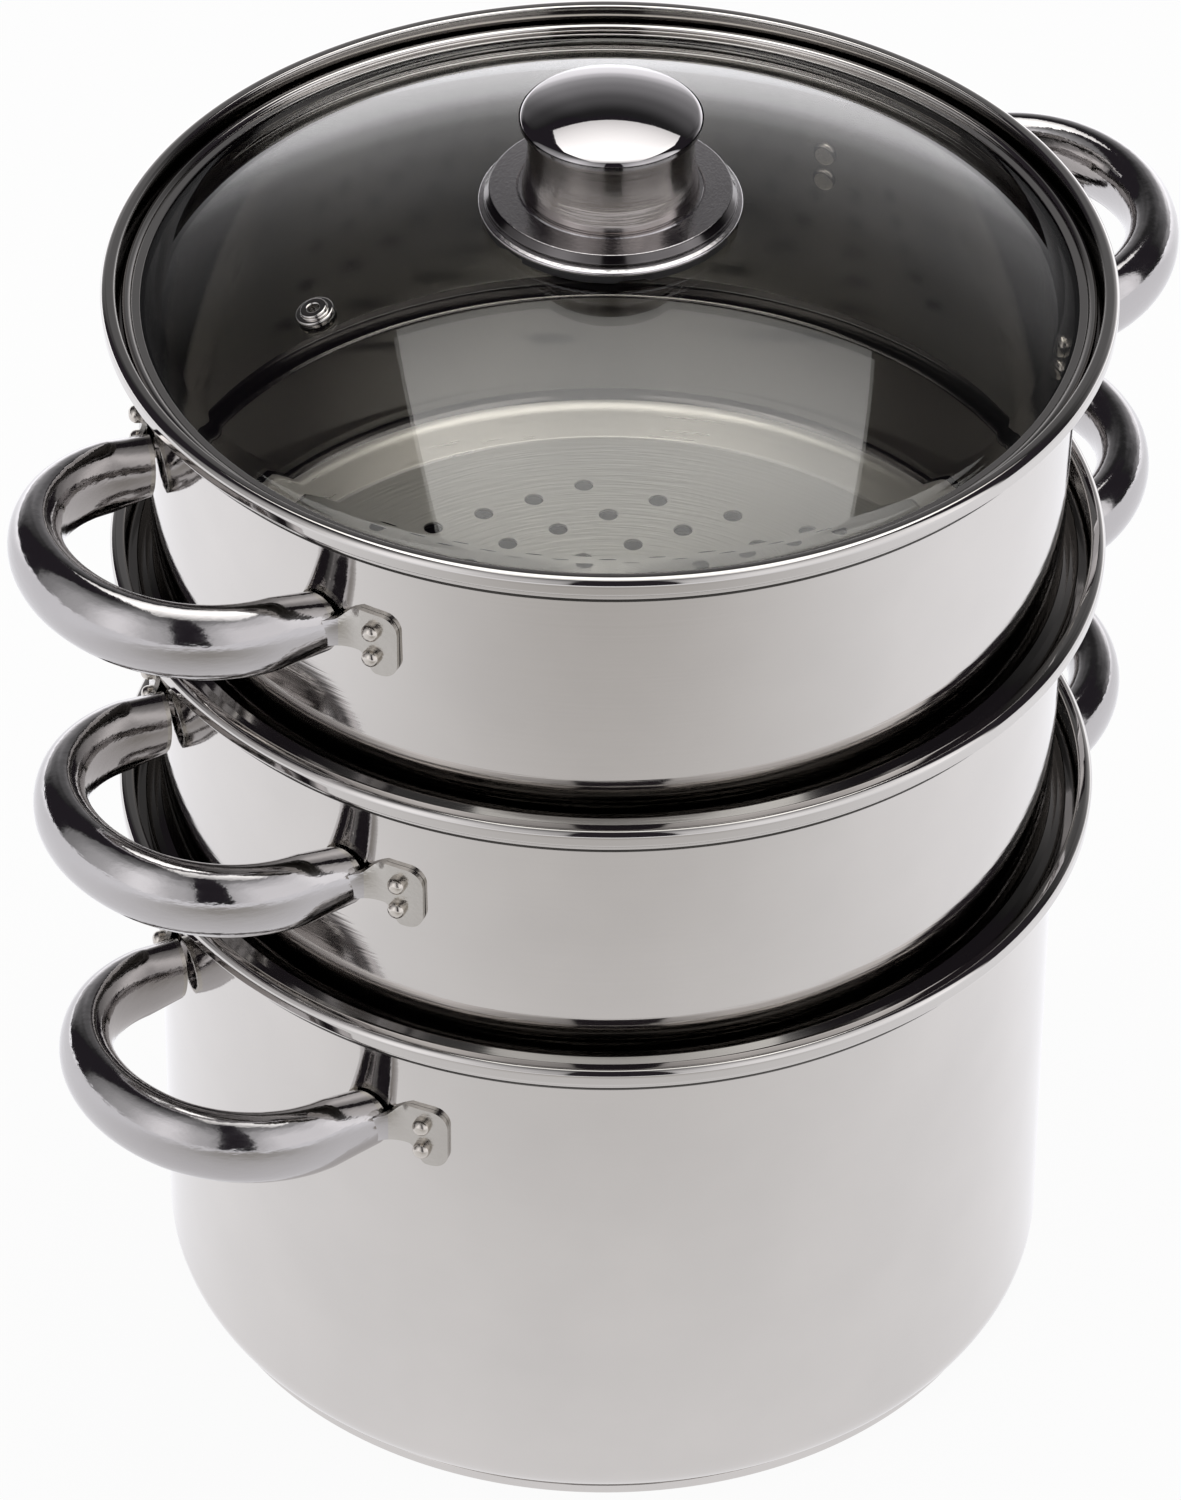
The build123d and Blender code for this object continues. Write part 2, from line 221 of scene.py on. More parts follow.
def softbox_light():
    """Overhead panel, narrower towards the camera and brightest a little beyond its middle."""
    data = bpy.data.lights.new("softbox", "AREA")
    data.shape = "RECTANGLE"
    data.size = softbox_far_width
    data.size_y = softbox_far - softbox_near
    data.energy = math.pi * data.size * data.size_y
    data.use_nodes = True
    tree = data.node_tree
    axes = in_lens_frame(tree, add(tree, "ShaderNodeNewGeometry").outputs["Position"])[1]

    def along(near, far):
        return spread(tree, axes["Y"], (softbox_near, softbox_far), (near, far))

    middle = along(softbox_near_shift, softbox_far_shift)
    half = along(softbox_near_width / 2, softbox_far_width / 2)
    off = maths(tree, "ABSOLUTE", maths(tree, "SUBTRACT", axes["X"], middle))
    level = maths(tree, "MINIMUM", along(*softbox_rise), along(*softbox_fall))
    bright = maths(tree, "MULTIPLY", maths(tree, "LESS_THAN", off, half), level)
    feed(tree, tree.nodes["Emission"], {"Color": (*softbox_tint, 1), "Strength": bright})
    made = link_object("softbox", data)
    middle_place = Vector((softbox_far_shift, (softbox_far + softbox_near) / 2, softbox_height))
    made.matrix_world = to_lens_frame @ Matrix.Translation(middle_place)


bpy.context.scene.world = studio_world()
floor_mesh = bpy.data.meshes.new("floor")
half_floor = floor_size / 2
floor_corners = [(x * half_floor, y * half_floor, 0) for x, y in ((-1, -1), (1, -1), (1, 1), (-1, 1))]
floor_mesh.from_pydata(floor_corners, [], [(0, 1, 2, 3)])
link_object("floor", floor_mesh, floor_material())
softbox_light()

# Pot: a vessel drawn from one steel sheet, polished outside, with a rolled rim and a seat
# pressed just below it for what stands on the pot. The rim's bead is turned down outside.
sheet = 0.0006
bead_width = 0.0038
bead_height = 0.0046
bead_rounding = 0.0019
bead_inner_rounding = 0.0008
bead_lower_rounding = 0.0008
seat_depth = 0.009
wall_radius = 0.1157
collar_rounding = 0.0025
seat_rounding = 0.001
pot_corner = 0.01
floor_rise = 0.006
floor_inset = 0.012
dish_start = 0.09
# Upward share of a face's direction: from this on it faces up, or is flat, and below it hangs over
upward = 0.7
flat_share = 0.995
crease_slope = -0.1
round_steps = 256
bend_step = math.radians(10)
least_turn = math.radians(1)
straight_hold = 0.0003
sharp_angle = math.radians(34)
axis_gap = sheet / 100
weld_gap = sheet / 20
rim_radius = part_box("pot_body")[1].x
collar_radius = rim_radius - bead_width
pot_floor, pot_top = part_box("pot_body")[0].z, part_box("pot_body")[1].z


def rounded(*corners):
    """Outline through corners given as radius, height and rounding, with an arc at each one."""
    points = [Vector(corners[0][:2])]
    for before, corner, after in zip(corners, corners[1:], corners[2:]):
        middle, rounding = Vector(corner[:2]), corner[2]
        back = Vector(before[:2]) - middle
        ahead = Vector(after[:2]) - middle
        turn = math.pi - back.angle(ahead)
        if rounding == 0 or turn < least_turn:
            points.append(middle)
            continue
        cut = rounding * math.tan(turn / 2)
        start = middle + back.normalized() * cut
        centre_way = back.normalized() + ahead.normalized()
        centre = middle + centre_way.normalized() * (rounding / math.cos(turn / 2))
        count = max(2, math.ceil(turn / bend_step))
        sense = 1 if back.x * ahead.y - back.y * ahead.x < 0 else -1
        arm = start - centre
        if back.length > 2 * cut + straight_hold:
            points.append(start + back.normalized() * straight_hold)
        for index in range(count + 1):
            angle = sense * turn * index / count
            points.append(centre + Matrix.Rotation(angle, 2) @ arm)
        if ahead.length > 2 * cut + straight_hold:
            points.append(middle + ahead.normalized() * (cut + straight_hold))
    points.append(Vector(corners[-1][:2]))
    return points


def shaded(mesh, made=None):
    """Mesh, filled from what was made, and smooth but for its sharp edges."""
    if made:
        made.to_mesh(mesh)
        made.free()
    mesh.shade_smooth()
    mesh.set_sharp_from_angle(angle=sharp_angle)
    return mesh


def turned(name, outline, steps=round_steps, closed=False):
    """Mesh turned about the vertical axis from an outline of radius and height."""
    made = bmesh.new()
    rings = []
    for radius, height in outline:
        if radius < axis_gap:
            rings.append([made.verts.new((0, 0, height))])
            continue
        ring = []
        for index in range(steps):
            angle = 2 * math.pi * index / steps
            ring.append(made.verts.new((radius * math.cos(angle), radius * math.sin(angle), height)))
        rings.append(ring)
    pairs = list(zip(rings, rings[1:]))
    if closed:
        pairs.append((rings[-1], rings[0]))
    for low, high in pairs:
        for index in range(steps):
            after = (index + 1) % steps
            corners = [low[index % len(low)], low[after % len(low)]]
            corners += [high[after % len(high)], high[index % len(high)]]
            made.faces.new(list(dict.fromkeys(corners)))
    return shaded(bpy.data.meshes.new(name), made)


def rim_outline(top):
    """Corners of a rim from the wall below it, round the bead and down to the seat."""
    seat = top - seat_depth
    shoulder = seat - sheet
    outside = collar_radius + sheet
    return [
        (wall_radius, shoulder, seat_rounding),
        (outside, shoulder, collar_rounding),
        (outside, top - bead_height, 0),
        (rim_radius, top - bead_height, bead_lower_rounding),
        (rim_radius, top, bead_rounding),
        (collar_radius, top, bead_inner_rounding),
        (collar_radius, seat, seat_rounding),
        (wall_radius - sheet, seat, seat_rounding),
    ]


def marks_group():
    """Fine marks of turning and polishing, as rings about the axis, and slow clouds of wear."""
    group = bpy.data.node_groups.new("turning_marks", "ShaderNodeTree")
    for name in ("Spacing", "Run", "Flat", "Cloud Size"):
        group.interface.new_socket(name, in_out="INPUT", socket_type="NodeSocketFloat")
    for name in ("Marks", "Clouds"):
        group.interface.new_socket(name, in_out="OUTPUT", socket_type="NodeSocketFloat")
    given = add(group, "NodeGroupInput").outputs
    place = add(group, "ShaderNodeTexCoord").outputs["Object"]
    axes = add(group, "ShaderNodeSeparateXYZ", {0: place}).outputs
    across = add(group, "ShaderNodeCombineXYZ", {0: axes["X"], 1: axes["Y"]}).outputs[0]
    radius = add(group, "ShaderNodeVectorMath", {0: across}, operation="LENGTH").outputs["Value"]
    level = add(group, "ShaderNodeMix", {0: given["Flat"], 2: axes["Z"], 3: radius}, data_type="FLOAT")
    lines = {index: maths(group, "DIVIDE", axes[index], given["Run"]) for index in (0, 1)}
    lines[2] = maths(group, "DIVIDE", level.outputs[0], given["Spacing"])
    stretched = add(group, "ShaderNodeCombineXYZ", lines).outputs[0]
    marks = add(group, "ShaderNodeTexNoise", {"Vector": stretched, "Scale": 1, "Detail": 3})
    size = scaled(group, place, given["Cloud Size"])
    clouds = add(group, "ShaderNodeTexNoise", {"Vector": size, "Scale": 1, "Detail": 4})
    add(group, "NodeGroupOutput", {"Marks": marks.outputs["Fac"], "Clouds": clouds.outputs["Fac"]})
    return group


turning_marks = marks_group()
cloud_size = 28
# Range of marks and clouds together that takes steel from its smoothest to its roughest
mark_range = (0.7, 1.3)
brushed_metallic = 0.78
brushed_turn = 0.25


def new_material(name):
    """New material with its nodes and its main shader."""
    made = bpy.data.materials.new(name)
    made.use_nodes = True
    return made, made.node_tree, made.node_tree.nodes["Principled BSDF"]


def steel(name, tints, roughness, relief, spacing, run, flat=0, brushing=0):
    """Steel with two close tints, a range of roughness, and marks of turning this far apart and
    this long, which follow the radius where it is flat and the height where it stands."""
    made, tree, shader = new_material(name)
    shader.inputs["Metallic"].default_value = brushed_metallic if brushing else 1
    if brushing:
        axis = add(tree, "ShaderNodeTangent", direction_type="RADIAL", axis="Z").outputs["Tangent"]
        feed(tree, shader, {"Anisotropic": brushing, "Anisotropic Rotation": brushed_turn, "Tangent": axis})
    values = {"Spacing": spacing, "Run": run, "Flat": flat, "Cloud Size": cloud_size}
    marks = add(tree, "ShaderNodeGroup", values, node_tree=turning_marks).outputs
    tint = blend(tree, marks["Clouds"], (*tints[0], 1), (*tints[1], 1))
    rough = spread(tree, maths(tree, "ADD", marks["Marks"], marks["Clouds"]), mark_range, roughness)
    bump = add(tree, "ShaderNodeBump", {"Height": marks["Marks"], "Strength": relief, "Distance": spacing})
    feed(tree, shader, {"Base Color": tint, "Roughness": rough, "Normal": bump.outputs["Normal"]})
    return made


wall_steel = steel(
    "satin_wall", ((0.67, 0.645, 0.62), (0.59, 0.57, 0.55)), (0.035, 0.085), relief=0.016,
    spacing=0.0009, run=0.05,
)
rim_steel = steel(
    "polished_rim", ((0.62, 0.6, 0.58), (0.58, 0.56, 0.54)), (0.02, 0.06), relief=0.004,
    spacing=0.0005, run=0.04,
)
# Painted shade: polished steel with a dark tint for the shade on the inner wall and in the seat.
inside_shade_steel = steel(
    "polished_inside", ((0.3, 0.289, 0.277), (0.25, 0.24, 0.229)), (0.07, 0.12), relief=0.01,
    spacing=0.0009, run=0.05,
)
floor_steel = steel(
    "brushed_floor", ((0.9, 0.89, 0.84), (0.78, 0.77, 0.73)), (0.42, 0.52), relief=0.25,
    spacing=0.0009, run=0.014, flat=1, brushing=0.8,
)
dish_steel = steel(
    "pressed_dish", ((0.76, 0.74, 0.69), (0.66, 0.64, 0.6)), (0.26, 0.38), relief=0.03,
    spacing=0.0011, run=0.02, flat=1,
)
# Painted shade: near-black steel for the thin dark line of shade under each rim's bead.
crease_shade_steel = steel(
    "soiled_crease", ((0.05, 0.045, 0.04), (0.03, 0.028, 0.025)), (0.3, 0.5), relief=0.02,
    spacing=0.0009, run=0.05,
)
vessel_finishes = [wall_steel, rim_steel, inside_shade_steel, floor_steel, dish_steel, crease_shade_steel]


def finish_vessel(mesh, top):
    """Satin outside, polish on the rim, polished steel darkened by painted shade on the inner wall and seat,
    brushed marks on the floor, a smoother slope round its dish, and painted shade in the crease under the
    collar."""
    for material in vessel_finishes:
        mesh.materials.append(material)
    floor_level = min(vertex.co.z for vertex in mesh.vertices) + floor_rise
    seat = top - seat_depth
    for face in mesh.polygons:
        finish = wall_steel
        reach = math.hypot(face.center.x, face.center.y)
        inward = face.normal.x * face.center.x + face.normal.y * face.center.y < -sheet * reach
        facing_up = face.normal.z > upward and face.center.z < seat + 2 * sheet
        if face.center.z < floor_level and (facing_up or reach < wall_radius - floor_inset):
            sloping = upward < face.normal.z < flat_share and reach > dish_start
            finish = dish_steel if sloping else floor_steel
        # Inner wall and seat get the darkened polished steel, as painted shade.
        elif facing_up or (inward and face.center.z < top - 2 * bead_inner_rounding):
            finish = inside_shade_steel
        elif face.center.z > seat - 2 * sheet:
            # Downward faces under the collar get the near-black steel, as painted shade.
            under_collar = face.normal.z < crease_slope and wall_radius < reach < collar_radius + sheet
            finish = crease_shade_steel if under_collar else rim_steel
        face.material_index = vessel_finishes.index(finish)


pot_outline = rounded(
    (0, pot_floor, 0),
    (wall_radius, pot_floor, pot_corner),
    *rim_outline(pot_top),
    (wall_radius - sheet, pot_floor + sheet, pot_corner - sheet),
    (0, pot_floor + sheet, 0),
)
pot_mesh = turned("pot_vessel", pot_outline)
finish_vessel(pot_mesh, pot_top)
pot = link_object("pot_vessel", pot_mesh)
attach(pot, "pot")
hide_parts("pot_body")

# Base plate: an aluminium core that spreads the heat, closed in by a shallow steel cup which is
# pressed on from below. Its edge stays clear of the pot's rounded corner, as a fine dark line.
base_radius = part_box("pot_base_cap")[1].x
base_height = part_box("pot_base_cap")[1].z
cap_sheet = 0.0005
cap_rounding = 0.0008
cap_lip_rounding = 0.0002

cap_outline = rounded(
    (0, 0, 0),
    (base_radius, 0, cap_rounding),
    (base_radius, base_height, cap_lip_rounding),
    (base_radius - cap_sheet, base_height, cap_lip_rounding),
    (base_radius - cap_sheet, cap_sheet, cap_lip_rounding),
    (0, cap_sheet, 0),
)
base_cup = link_object("base_cup", turned("base_cup", cap_outline), wall_steel)
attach(base_cup, "pot")
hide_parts("pot_base_cap")
core_metal = steel(
    "core_metal", ((0.8, 0.8, 0.8), (0.74, 0.74, 0.75)), (0.3, 0.45), relief=0.05,
    spacing=0.0009, run=0.02, flat=1,
)
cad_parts["pot_base_core"].data.materials.clear()
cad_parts["pot_base_core"].data.materials.append(core_metal)

# Steamers: two alike, each a drawn vessel whose lower end is a basket that hangs in the rim
# below. A pressed ridge stops it on the seat, and its floor is pierced with round holes.
ridge_height = 0.0034
ridge_slope = 0.0016
basket_radius = 0.1122
basket_corner = 0.007
foot_radius = 0.1144
ridge_radius = 0.1184
disc_radius = 0.0985
disc_edge = 0.0005
dish_rise = 0.0046
hole_radius = 0.0025
hole_pitch = 0.0145
hole_reach = 5
hole_diagonal_reach = 7
hole_steps = 28
pattern_turn = math.radians(-7.9)
steamer_turns = {"middle_steamer": math.radians(-3), "top_steamer": math.radians(-6)}
below = {"middle_steamer": pot_top, "top_steamer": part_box("middle_steamer_body")[1].z}


def geometry_tree(name, inputs):
    """Tree of geometry nodes with inputs named by kind and one output, and its input sockets."""
    tree = bpy.data.node_groups.new(name, "GeometryNodeTree")
    for kind, names in inputs.items():
        for socket in names:
            tree.interface.new_socket(socket, in_out="INPUT", socket_type="NodeSocket" + kind)
    tree.interface.new_socket("Geometry", in_out="OUTPUT", socket_type="NodeSocketGeometry")
    return tree, add(tree, "NodeGroupInput").outputs


def end_tree(tree, geometry, material):
    """Last nodes of a tree: the geometry made real, in its material."""
    real = add(tree, "GeometryNodeRealizeInstances", {"Geometry": geometry})
    done = add(tree, "GeometryNodeSetMaterial", {"Geometry": real.outputs[0], "Material": material})
    add(tree, "NodeGroupOutput", {"Geometry": done.outputs[0]})
    return tree


def joined(tree, *parts):
    """Geometry of these parts together."""
    made = add(tree, "GeometryNodeJoinGeometry")
    for part in parts:
        tree.links.new(part, made.inputs[0])
    return made.outputs[0]


def holed_disc_tree():
    """Nodes that make a flat disc of sheet with holes on a square pattern without its corners."""
    lengths = ("Radius", "Thickness", "Hole Radius", "Pitch")
    counts = ("Rim Steps", "Hole Steps", "Reach", "Diagonal Reach")
    tree, given = geometry_tree("holed_disc", {"Float": lengths, "Int": counts, "Material": ["Material"]})
    span = maths(tree, "MULTIPLY", maths(tree, "MULTIPLY", given["Reach"], given["Pitch"]), 2)
    count = maths(tree, "ADD", maths(tree, "MULTIPLY", given["Reach"], 2), 1)
    sides = {"Size X": span, "Size Y": span, "Vertices X": count, "Vertices Y": count}
    grid = add(tree, "GeometryNodeMeshGrid", sides).outputs["Mesh"]
    axes = add(tree, "ShaderNodeSeparateXYZ", {0: add(tree, "GeometryNodeInputPosition").outputs[0]}).outputs
    steps = maths(tree, "ADD", maths(tree, "ABSOLUTE", axes["X"]), maths(tree, "ABSOLUTE", axes["Y"]))
    limit = maths(tree, "MULTIPLY", maths(tree, "ADD", given["Diagonal Reach"], 0.5), given["Pitch"])
    corners = {"Geometry": grid, "Selection": maths(tree, "GREATER_THAN", steps, limit)}
    kept = add(tree, "GeometryNodeDeleteGeometry", corners, domain="POINT")

    def circle(steps, radius):
        sizes = {"Resolution": given[steps], "Radius": given[radius]}
        return add(tree, "GeometryNodeCurvePrimitiveCircle", sizes).outputs["Curve"]

    hole = {"Points": kept.outputs[0], "Instance": circle("Hole Steps", "Hole Radius")}
    holes = add(tree, "GeometryNodeInstanceOnPoints", hole)
    pierced = add(tree, "GeometryNodeRealizeInstances", {"Geometry": holes.outputs[0]})
    outlines = joined(tree, pierced.outputs[0], circle("Rim Steps", "Radius"))
    flat = add(tree, "GeometryNodeFillCurve", {"Curve": outlines}).outputs["Mesh"]
    lift = {"Mesh": flat, "Offset Scale": given["Thickness"], "Individual": False}
    raised = add(tree, "GeometryNodeExtrudeMesh", lift)
    under = add(tree, "GeometryNodeFlipFaces", {"Mesh": flat})
    whole = joined(tree, raised.outputs["Mesh"], under.outputs["Mesh"])
    welded = add(tree, "GeometryNodeMergeByDistance", {"Geometry": whole, "Distance": weld_gap})
    return end_tree(tree, welded.outputs[0], given["Material"])


def grown(name, tree, base=None, **inputs):
    """Plain mesh that a tree of geometry nodes makes with these inputs."""
    helper = link_object(name + "_helper", base or bpy.data.meshes.new(name + "_helper"))
    modifier = helper.modifiers.new("grow", "NODES")
    modifier.node_group = tree
    for socket in tree.interface.items_tree:
        if socket.in_out == "INPUT" and socket.name in inputs:
            modifier[socket.identifier] = inputs[socket.name]
    evaluated = helper.evaluated_get(bpy.context.evaluated_depsgraph_get())
    mesh = bpy.data.meshes.new_from_object(evaluated)
    mesh.name = name
    helper.modifiers.clear()
    bpy.data.objects.remove(helper)
    return mesh


disc_tree = holed_disc_tree()
disc_values = {
    "Radius": disc_radius,
    "Thickness": sheet,
    "Rim Steps": round_steps,
    "Hole Radius": hole_radius,
    "Hole Steps": hole_steps,
    "Pitch": hole_pitch,
    "Reach": hole_reach,
    "Diagonal Reach": hole_diagonal_reach,
}


def steamer(tier):
    """Vessel of one steamer with its holed floor, from the rim below up to its own rim."""
    low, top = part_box(tier + "_body")[0].z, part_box(tier + "_body")[1].z
    seat = below[tier] - seat_depth
    crest = seat + ridge_height
    shoulder = crest + ridge_slope
    outline = rounded(
        (disc_radius, low, 0),
        (disc_radius + disc_edge, low + disc_edge, disc_edge),
        (basket_radius, low + dish_rise, basket_corner),
        (basket_radius, seat, sheet),
        (ridge_radius, seat, seat_rounding),
        (ridge_radius, crest, seat_rounding),
        (foot_radius, shoulder, seat_rounding),
        *rim_outline(top),
        (foot_radius - sheet, shoulder + sheet, seat_rounding),
        (ridge_radius - sheet, crest, sheet),
        (ridge_radius - sheet, seat + sheet, sheet),
        (basket_radius - sheet, seat + sheet, seat_rounding),
        (basket_radius - sheet, low + dish_rise + sheet, basket_corner - sheet),
        (disc_radius + disc_edge, low + disc_edge + sheet, disc_edge),
        (disc_radius, low + sheet, 0),
    )
    mesh = turned(tier + "_vessel", outline)
    disc = grown(tier + "_disc", disc_tree, **disc_values)
    disc.transform(Matrix.Translation((0, 0, low)))
    pattern = Matrix.Rotation(steamer_turns[tier] + pattern_turn, 4, "Z")
    made = bmesh.new()
    made.from_mesh(disc)
    edge = {v for v in made.verts if math.hypot(v.co.x, v.co.y) > disc_radius - sheet}
    for corner in made.verts:
        if corner not in edge:
            corner.co = pattern @ corner.co
    sides = [f for f in made.faces if abs(f.normal.z) < upward and edge.issuperset(f.verts)]
    bmesh.ops.delete(made, geom=sides, context="FACES")
    made.from_mesh(mesh)
    bmesh.ops.remove_doubles(made, verts=made.verts, dist=weld_gap)
    finish_vessel(shaded(mesh, made), top)
    return mesh


for tier in steamer_turns:
    vessel = link_object(tier + "_vessel", steamer(tier))
    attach(vessel, tier)
    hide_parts(tier + "_body")

# Handles: six alike, each a polished oval steel tube bent into a bow that rises outwards. At its
# ends the tube is cut clear of the wall, and its outer side is pressed flat into a tab for rivets.
handle_reach = 0.1585
handle_half_span = 0.0379
corner_bend_radius = 0.0354
bow_radius = 0.0432
handle_depth = 0.0356
handle_lift = math.radians(6.5)
tube_half_width = 0.0068
tube_half_height = 0.0098
tube_sheet = 0.001
tube_end_share = 0.82
tube_end_gap = 0.0015
tube_steps = 56
bend_count = 72
leg_steps = 8
pocket_depth = 0.014
seam_angle = math.radians(220)
seam_width = math.radians(5)
seam_depth_share = 0.05
tab_sheet = 0.0012
tab_gap = sheet / 10
tab_reach = 0.0026
tab_depth = 0.0272
tab_height = 0.0175
tab_corner = 0.0045
tab_end_angle = math.radians(30.3)
neck_top = 0.0044
neck_low = 0.0121
neck_start = 0.0075
neck_widening = 1.6
neck_steps = 12
tab_steps = 22
tab_rows = 10
bend_angle = math.radians(25.2)
flare_share = 0.42
taper = wall_radius - foot_radius
handle_steel = steel(
    "polished_tube", ((0.53, 0.515, 0.515), (0.43, 0.415, 0.415)), (0.05, 0.14), relief=0.06,
    spacing=0.0012, run=0.004,
)
tab_steel = steel(
    "pressed_tab", ((0.58, 0.56, 0.525), (0.45, 0.43, 0.4)), (0.12, 0.26), relief=0.12,
    spacing=0.0009, run=0.0016,
)


def wall_at(tier, top, depth):
    """Outer radius of a tier's wall at a depth below its rim."""
    if tier == "pot":
        return wall_radius
    rise = top - below[tier] - ridge_height - ridge_slope - sheet
    return wall_radius - taper * (depth - seat_depth - sheet) / rise


def bow_line():
    """Stations of the bow as place, heading: both legs, two close bends and the wide bow."""
    small = handle_half_span - corner_bend_radius
    large = bow_radius - corner_bend_radius
    corner = math.acos(small / large)
    leg_end = handle_reach - bow_radius + math.sqrt(large**2 - small**2)
    stations = []
    for index in range(bend_count + 1):
        heading = math.pi * index / bend_count
        across = Vector((math.sin(heading), -math.cos(heading)))
        wide = corner < heading < math.pi - corner
        side = math.copysign(small, heading - math.pi / 2)
        centre = Vector((handle_reach - bow_radius, 0) if wide else (leg_end, side))
        radius = bow_radius if wide else corner_bend_radius
        stations.append((centre + across * radius, heading))
    return leg_end, stations


def tube_angles():
    """Angles round the tube's oval, from its outer side up, with three more at the seam."""
    angles = [2 * math.pi * index / tube_steps for index in range(tube_steps)]
    angles = [angle for angle in angles if abs(angle - seam_angle) > seam_width]
    return sorted([*angles, seam_angle - seam_width, seam_angle, seam_angle + seam_width])


def oval(angle, share, inset):
    """Point of the tube's oval, out from the middle of the bow and up."""
    depth = 1 - seam_depth_share * (abs(angle - seam_angle) < seam_width / 2)
    return (
        (tube_half_width - inset) * math.cos(angle) * depth,
        (tube_half_height * share - inset) * math.sin(angle) * depth,
    )


def handle_tube(made, wall):
    """Bow of the handle in its own plane, with open ends that follow the wall."""
    leg_end, stations = bow_line()
    angles = tube_angles()
    cut_radius = wall + tube_end_gap

    def leg_ring(side, share, inset, along):
        ring = []
        grow = tube_end_share + (1 - tube_end_share) * share
        for angle in angles:
            out, up = oval(angle, grow, inset)
            y = side * (handle_half_span + out)
            cut = math.sqrt(cut_radius**2 - y**2)
            x = cut + along if along is not None else cut + (leg_end - cut) * share
            ring.append(made.verts.new((x, y, up)))
        return ring

    rings = [leg_ring(-1, 0, tube_sheet, pocket_depth), leg_ring(-1, 0, tube_sheet, 0)]
    rings += [leg_ring(-1, index / leg_steps, 0, None) for index in range(leg_steps)]
    for place, heading in stations:
        ring = []
        for angle in angles:
            out, up = oval(angle, 1, 0)
            reach = Vector((math.sin(heading), -math.cos(heading))) * out + place
            ring.append(made.verts.new((reach.x, reach.y, up)))
        rings.append(ring)
    rings += [leg_ring(1, 1 - (index + 1) / leg_steps, 0, None) for index in range(leg_steps)]
    rings += [leg_ring(1, 0, tube_sheet, 0), leg_ring(1, 0, tube_sheet, pocket_depth)]
    for first, second in zip(rings, rings[1:]):
        for index in range(len(first)):
            after = (index + 1) % len(first)
            made.faces.new((first[index], first[after], second[after], second[index]))
    made.faces.new(rings[0])
    made.faces.new(rings[-1])


def eased(share):
    """Share from nothing to one that starts and ends gently."""
    share = min(1, max(0, share))
    return share * share * (3 - 2 * share)


def tab_plate(made, wall, side):
    """Neck off the tube's outer side, bent along the wall and flattened into the tab."""
    tab_radius = wall + tab_sheet
    tube_side = handle_half_span + tube_half_width - tab_sheet / 4
    start = Vector((math.sqrt(wall**2 - tube_side**2) + neck_start, tube_side))
    bend_end = Vector((tab_radius * math.cos(bend_angle), tab_radius * math.sin(bend_angle)))
    along_wall = Vector((math.sin(bend_angle), -math.cos(bend_angle)))
    turn_in = bend_end + along_wall * ((bend_end.y - tube_side) / math.cos(bend_angle))
    stations = []
    for index in range(neck_steps):
        t = index / neck_steps
        place = start * (1 - t) ** 2 + turn_in * 2 * t * (1 - t) + bend_end * t**2
        slope = (turn_in - start) * (1 - t) + (bend_end - turn_in) * t
        stations.append((place, slope.normalized(), 1 - t, 0))
    length = tab_radius * (tab_end_angle - bend_angle)
    for index in range(tab_steps + 1):
        t = math.sin(math.pi / 2 * index / tab_steps)
        angle = bend_angle + (tab_end_angle - bend_angle) * t
        place = Vector((tab_radius * math.cos(angle), tab_radius * math.sin(angle)))
        stations.append((place, Vector((-math.sin(angle), math.cos(angle))), 0, t * length))
    outer, inner = [], []
    for place, slope, on_tube, run in stations:
        out = Vector((slope.y, -slope.x))
        widen = eased(1 - on_tube * neck_widening)
        flare = eased(run / (length * flare_share))
        high = -neck_top * (1 - widen)
        low = -neck_low - (tab_height - neck_low) * flare
        rest = length - run
        if rest < tab_corner and on_tube == 0:
            drop = tab_corner - math.sqrt(tab_corner**2 - (tab_corner - rest) ** 2)
            high -= drop
            low += drop
        for rows, depth in ((outer, 0), (inner, tab_sheet)):
            row = []
            for index in range(tab_rows + 1):
                z = low + (high - low) * index / tab_rows
                lean = (z + handle_depth - tab_depth) / (tube_half_height * tube_end_share)
                bulge = tube_half_width * (1 - math.sqrt(max(0, 1 - min(1, lean * lean))))
                spot = place - out * (depth + bulge * on_tube)
                row.append(made.verts.new((spot.x, side * spot.y, z)))
            rows.append(row)
    for index in range(len(outer) - 1):
        (left, right), (back_left, back_right) = outer[index : index + 2], inner[index : index + 2]
        for row in range(tab_rows):
            made.faces.new((left[row], left[row + 1], right[row + 1], right[row]))
            made.faces.new((back_left[row], back_right[row], back_right[row + 1], back_left[row + 1]))
        for row in (0, tab_rows):
            made.faces.new((left[row], right[row], back_right[row], back_left[row]))
    for end in (0, -1):
        face, back = outer[end], inner[end]
        for row in range(tab_rows):
            made.faces.new((face[row], face[row + 1], back[row + 1], back[row]))


def handle(tier, turn, top):
    """Handle at its place on a tier, with both its tabs."""
    wall = wall_at(tier, top, tab_depth)
    made = bmesh.new()
    handle_tube(made, wall)
    tilt = (
        Matrix.Translation((wall_radius, 0, top - handle_depth))
        @ Matrix.Rotation(-handle_lift, 4, "Y")
        @ Matrix.Translation((-wall_radius, 0, 0))
    )
    made.transform(tilt)
    for side in (-1, 1):
        plate = bmesh.new()
        tab_plate(plate, wall + tab_gap, side)
        plate.transform(Matrix.Translation((0, 0, top - tab_depth)))
        spare = bpy.data.meshes.new("spare")
        plate.to_mesh(spare)
        plate.free()
        made.from_mesh(spare)
        bpy.data.meshes.remove(spare)
    made.transform(Matrix.Rotation(turn, 4, "Z"))
    bmesh.ops.recalc_face_normals(made, faces=made.faces)
    mesh = shaded(bpy.data.meshes.new(tier + "_handle_"), made)
    mesh.materials.append(handle_steel)
    mesh.materials.append(tab_steel)
    for face in mesh.polygons:
        face.material_index = math.hypot(face.center.x, face.center.y) < wall + tab_reach
    return mesh


